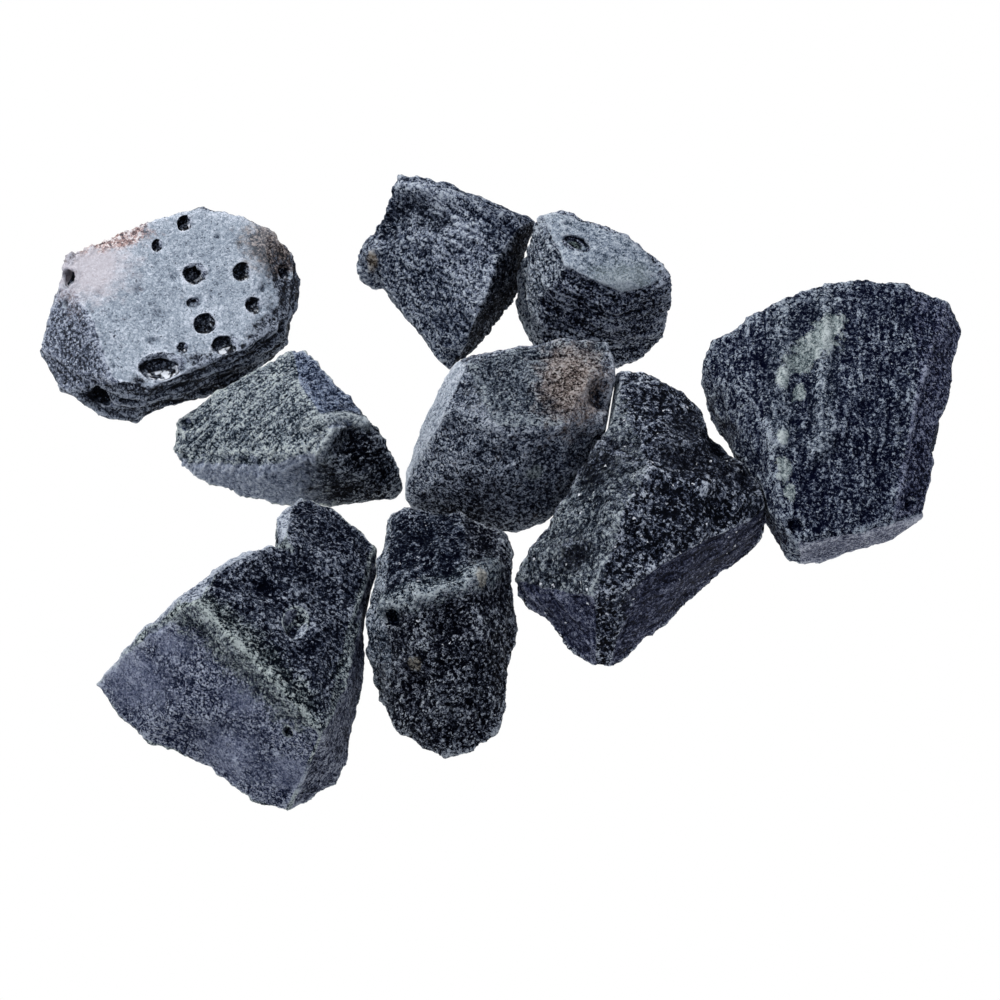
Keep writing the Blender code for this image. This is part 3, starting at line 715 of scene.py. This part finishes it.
def make_ridged():
    """The darkest stone: glassy, with painted glints, painted shade in its hollows and smooth joint
    faces.
    """
    rock = Rock("ridged_stone")
    front = np.maximum(rock.face(-51, 8, 0.82, 0.95), rock.face(-125, 16, 0.82, 0.95))
    rock.push(-3.2 * MM, rock.near((84, 72, 66), 10 * MM))
    rock.push(1.8 * MM, rock.near((40, 82, 64), 20 * MM) * rock.face(172, 35, 0.6, 0.85))
    rock.push(-2.0 * MM, rock.near((66, 60, 96), 12 * MM))
    rock.push(1.4 * MM, rock.along(((62, 62, 98), (76, 50, 90), (90, 50, 68)), 6 * MM))
    rock.roughen(LEDGE, 1.4 * MM, 0.6, front, (7, 7, 1.5), (0, 20, 0))
    rock.break_up(1.8, 3.0, 1.7, 1.2, 0.5, 0.4, calm=0.8 * front)
    rock.mark("left", rock.face(-159, 46, 0.8, 0.96))
    rock.mark("right_joint", rock.face(-51, 8, 0.8, 0.95))
    rock.mark("left_joint", rock.face(-128, 18, 0.8, 0.95))
    # Painted shade: the hollows and the left flank by the centre stone
    shade = [rock.near(place, reach * MM) for place, reach in (
        ((80, 70, 72), 26), ((33, 62, 76), 16), ((66, 62, 96), 14), ((24, 30, 60), 12))]
    rock.mark("shade", np.maximum.reduce(shade))

    # Glassy basalt, broken fresh: near-black with large pale flecks, and white specks painted in
    # as glints of cleaved crystal faces.  Its hollows and its left flank, which lies beside the
    # centre stone, are painted darker as shade.  Its two joint faces are old cooling cracks:
    # smooth, violet, faintly lined.
    coat = Coat("Glittering_basalt")
    coat.lay(coat.felt(("#000209", "#151a29", "#5e6677", "#c9d0d9"), 0.38, 1.4))
    coat.lay(coat.felt(("#010510", "#1f2836", "#6b7581", "#bfc8c9"), 0.45, 1.15),
             coat.on("left", 1.6, 0.4, 0.8))
    # The painted shade
    coat.lay(coat.felt(("#000108", "#090d19", "#454c5d", "#a9b1bd"), 0.31, 1.1),
             coat.on("shade", 1.8, 0.4, 0.9))
    along = ((6, 6, 1), (0, 14, 0), 0.9)
    coat.lay(coat.felt(("#060815", "#23273a", "#4a4f65", "#9a9fb0"), 0.47, 1.0, 0.7,
                       streak=along), coat.on("right_joint", 1.4))
    coat.lay(coat.felt(("#080c1f", "#2d3249", "#5c6279", "#a8adbd"), 0.5, 1.0, 0.75,
                       streak=along), coat.on("left_joint", 1.4))
    # Painted glints: white specks
    coat.stain("#eef1f6", coat.specks(0.09, 2.0, 0.5))
    return rock, coat.settle(0.6, 0.05), "glittering_basalt"


def make_slab():
    """Navy slab, its top brushed with long pale streaks and dabbed with pale green mineral."""
    rock = Rock("slab_stone")
    strip = np.maximum(rock.face(-76, -5, 0.78, 0.93), rock.face(-39, 45, 0.88, 0.97))
    rock.push(1.2 * MM, rock.face(-165, 5, 0.3, 0.7))
    rock.push(-1.3 * MM, rock.face(-5, 15, 0.5, 0.8))
    rock.roughen(LEDGE, 1.2 * MM, 0.6, 1 - strip, (1.2, 7, 3), (0, 0, -3))
    ribs = (((30, 88, 92), (27, 60, 84), (25, 34, 80)), ((44, 92, 98), (42, 60, 93), (40, 30, 86)))
    for rib in ribs:
        rock.push(0.9 * MM, rock.along(rib, 4.5 * MM))
    dabs = rock.along(((34, 67, 91), (41, 73, 94), (46, 78, 96)), 9 * MM)
    for place, reach in (((27, 60, 87), 5), ((33, 53, 87), 4.6), ((26, 36, 82), 4.4),
                         ((26, 24, 76), 5), ((28, 16, 72), 4)):
        dabs = np.maximum(dabs, rock.near(place, reach * MM, (0.8, 1.3, 1.5)))
    rock.push(0.7 * MM, dabs)
    rock.break_up(1.8, 2.0, 1.0, 1.2, calm=0.7 * strip)
    rock.mark("edge", rock.face(-20, 50, 0.82, 0.96))
    rock.mark("smooth", rock.face(-76, -5, 0.76, 0.93))
    rock.mark("band", np.maximum(rock.along(ribs[0], 9 * MM), rock.along(ribs[1], 8 * MM)))
    rock.mark("dabs", dabs)

    # Flow-banded basalt: navy glass with faint pale streaks that follow the flow.  Dull pale-green
    # dabs are bubbles that filled with zeolite.  The front strip is an old smooth joint, lilac.
    coat = Coat("Streaked_basalt")
    brushed = ((1.2, 4, 2.5), (0, 0, -3), 0.3)
    coat.lay(coat.felt(("#02051a", "#1d2438", "#616a7d", "#b9c3cc"), 0.41, streak=brushed))
    coat.lay(coat.felt(("#040617", "#23283f", "#5a607a", "#aaafc0"), 0.45),
             coat.on("edge", 1.3))
    coat.lay(coat.felt(("#1f2335", "#515669", "#7a7f91", "#c8ccd6"), 0.55, 0.9, 0.8),
             coat.on("smooth"))
    coat.lay(coat.felt(("#0c1221", "#404a5a", "#818b98", "#c3ccd1"), 0.48, streak=brushed),
             coat.on("band", 2.0, 0.4, 0.7))
    coat.lay(coat.felt(("#3f4b50", "#7e8a8b", "#a0abaa", "#cfd7d5"), 0.6, 0.9, 0.9),
             coat.on("dabs", 2.4, 0.15, 0.95))
    return rock, coat.settle(), "streaked_basalt"


def make_large():
    """A violet-grey joint face meets a rough black break along a pale crushed ridge."""
    rock = Rock("large_stone")
    joint = np.maximum(rock.face(-122, 36, 0.84, 0.96), rock.face(-36, 11, 0.76, 0.9))
    ridge = ((32, 53, 88), (42, 46, 98), (56, 36, 90), (76, 19, 80))
    rock.push(0.9 * MM, rock.along(ridge, 6 * MM))
    for place, radius, depth in (((66, 58, 80), 9, 2.6), ((46, 58, 90), 3.4, 1.8),
                                 ((72, 15, 70), 3.4, 2.2), ((47, 20, 40), 5, 1.0)):
        rock.push(-depth * MM, rock.near(place, radius * MM))
    rock.break_up(1.8, 2.6, 1.4, 1.2, 0.45, 0.4, calm=0.75 * joint)
    smears = [rock.near(place, reach * MM, (1.5, 1, 1)) for place, reach in (
        ((16, 38, 35), 17), ((32, 44, 66), 11), ((50, 14, 26), 15), ((74, 8, 30), 10),
        ((60, 26, 60), 9))]
    rock.mark("head", rock.face(40, 58, 0.84, 0.97))
    rock.mark("violet", rock.face(-124, 38, 0.8, 0.96))
    rock.mark("grey", rock.face(-36, 11, 0.72, 0.88))
    rock.mark("crushed", rock.along(ridge, 14 * MM))
    rock.mark("smears", np.maximum.reduce(smears))
    rock.mark("sliver", rock.face(130, 40, 0.75, 0.94))

    # Basalt with one old joint face: violet, fine-grained, with a slight sheen, navy specks and
    # smooth lilac smears.  The break beside it is black and coarse, and where the two meet the
    # rock is crushed to pale green flecks.
    coat = Coat("Violet_faced_basalt")
    coat.lay(coat.felt(("#02050d", "#252c3a", "#747f85", "#c4cdcc"), 0.49, 1.1, 1.1))
    coat.lay(coat.felt(("#01030e", "#181e2f", "#5c6474", "#b3bac4"), 0.4, 1.1),
             coat.on("head", 1.2))
    coat.lay(coat.felt(("#0d142a", "#3f4760", "#7c849b", "#c9d0dc"), 0.51, 0.9, 1.2,
                       (0.5, 0.7)), coat.on("violet", 1.2))
    coat.lay(coat.felt(("#2c344c", "#596179", "#7c839b", "#b6bdcd"), 0.56, 0.85, 0.75,
                       (0.5, 0.7)), coat.on("smears", 2.2, 0.4, 0.8))
    coat.lay(coat.felt(("#0a0e1c", "#363b4b", "#636878", "#a5abb6"), 0.5, 1.2, 0.85),
             coat.on("grey", 1.2))
    coat.lay(coat.felt(("#060b12", "#323c44", "#7b8787", "#c8d1cd"), 0.44, 1.1, 1.3),
             coat.on("crushed", 2.4, 0.35, 0.8))
    coat.lay(coat.felt(("#2a3342", "#6a7383", "#959dab", "#c9d0d9"), 0.55), coat.on("sliver"))
    return rock, coat.settle(), "violet_faced_basalt"


def make_long():
    """Near-black and sharply broken, with a pale crushed band across it and a pale left side."""
    rock = Rock("long_stone")
    band = ((8, 52, 76), (30, 53, 93), (66, 60, 100), (86, 70, 78))
    rock.push(0.9 * MM, rock.along(band, 5 * MM))
    for place, radius, depth in (((17, 46, 78), 5, 2.6), ((55, 42, 82), 10, 2.2),
                                 ((30, 22, 50), 8, 1.8)):
        rock.push(-depth * MM, rock.near(place, radius * MM))
    rock.break_up(1.8, 2.8, 1.7, 1.2, 0.5, 0.4)
    buff = [rock.near(place, 4.5 * MM) for place in ((34, 31, 61), (78, 62, 92))]
    rock.mark("top", rock.face(108, 71, 0.84, 0.97))
    rock.mark("left", rock.face(176, 27, 0.76, 0.93))
    rock.mark("crushed", rock.along(band, 8 * MM))
    rock.mark("buff", np.maximum(*buff))

    # Dense basalt, freshly broken: black glass with coarse pale flecks, a few white specks among
    # them painted in as glints, a band crushed pale across it and two dull buff grains of weathered
    # olivine.
    coat = Coat("Near_black_basalt")
    coat.lay(coat.felt(("#000108", "#10131e", "#5b616f", "#bcc3c9"), 0.42, 1.15))
    coat.lay(coat.felt(("#01030f", "#131928", "#515a6a", "#b0b8c2"), 0.37, 1.1),
             coat.on("top", 1.4))
    coat.lay(coat.felt(("#080e1b", "#364050", "#7f8b9b", "#cad2da"), 0.51, 1.0, 1.2),
             coat.on("left", 1.2))
    coat.lay(coat.felt(("#060b15", "#303b49", "#76838e", "#c5ced0"), 0.47, 1.1, 1.2),
             coat.on("crushed", 2.4, 0.35, 0.8))
    coat.lay(coat.felt(("#2c2a28", "#7a766c", "#a29e92", "#cfccc2"), 0.55),
             coat.on("buff", 1.9, 0.25, 0.85))
    # Painted glints: a few white specks
    coat.stain("#e6eaf0", coat.specks(0.05, 1.9, 0.38))
    return rock, coat.settle(0.6), "near_black_basalt"


MAKERS = (
    make_pitted, make_wedge, make_pointed, make_block, make_centre,
    make_ridged, make_slab, make_large, make_long,
)
for make in MAKERS:
    stone, finish, slot_name = make()
    stone.finish(finish, slot_name)


# ---- floor, light and camera --------------------------------------------------------------------

def make_floor():
    """A light table: white glass lit from below, on which the stones throw no shadow."""
    bpy.ops.object.select_all(action="DESELECT")
    bpy.ops.mesh.primitive_plane_add(size=6, location=(0, 0, -FLOOR_DROP))
    floor = bpy.context.active_object
    floor.name = "floor"
    glass = bpy.data.materials.new("Light_table_glass")
    glass.use_nodes = True
    shader = glass.node_tree.nodes["Principled BSDF"]
    shader.inputs["Base Color"].default_value = linear("#000000")
    shader.inputs["Specular IOR Level"].default_value = 0
    shader.inputs["Emission Color"].default_value = linear("#ffffff")
    shader.inputs["Emission Strength"].default_value = 1.0
    floor.data.materials.append(glass)


def add_light(name, place, size, power):
    """A round soft lamp that points at the middle of the group."""
    data = bpy.data.lights.new(name, "AREA")
    data.shape = "DISK"
    data.size = size
    data.energy = power
    lamp = bpy.data.objects.new(name, data)
    bpy.context.scene.collection.objects.link(lamp)
    lamp.location = place
    lamp.rotation_euler = (-Vector(place)).to_track_quat("-Z", "Y").to_euler()


def make_world(colour, strength):
    """Even light from all round."""
    world = bpy.data.worlds.new("Pale_studio")
    world.use_nodes = True
    background = world.node_tree.nodes["Background"]
    background.inputs["Color"].default_value = linear(colour)
    background.inputs["Strength"].default_value = strength
    bpy.context.scene.world = world


def make_camera():
    """Looks down on the group from the front, 60 degrees above the floor, through a long lens."""
    elevation = math.radians(60)
    distance = 0.775
    target = Vector((0.001, -0.008, 0.018))
    back = Vector((0, -math.cos(elevation), math.sin(elevation)))
    data = bpy.data.cameras.new("camera")
    data.sensor_width = 36
    data.lens = 90
    camera = bpy.data.objects.new("camera", data)
    bpy.context.scene.collection.objects.link(camera)
    camera.location = target + back * distance
    camera.rotation_euler = (math.pi / 2 - elevation, 0, 0)
    bpy.context.scene.camera = camera


make_floor()
make_world("#e8eeff", 0.5)
add_light("key", (-0.5, 0.6, 0.9), 0.35, 12)
make_camera()
bpy.context.scene.view_settings.view_transform = "Standard"
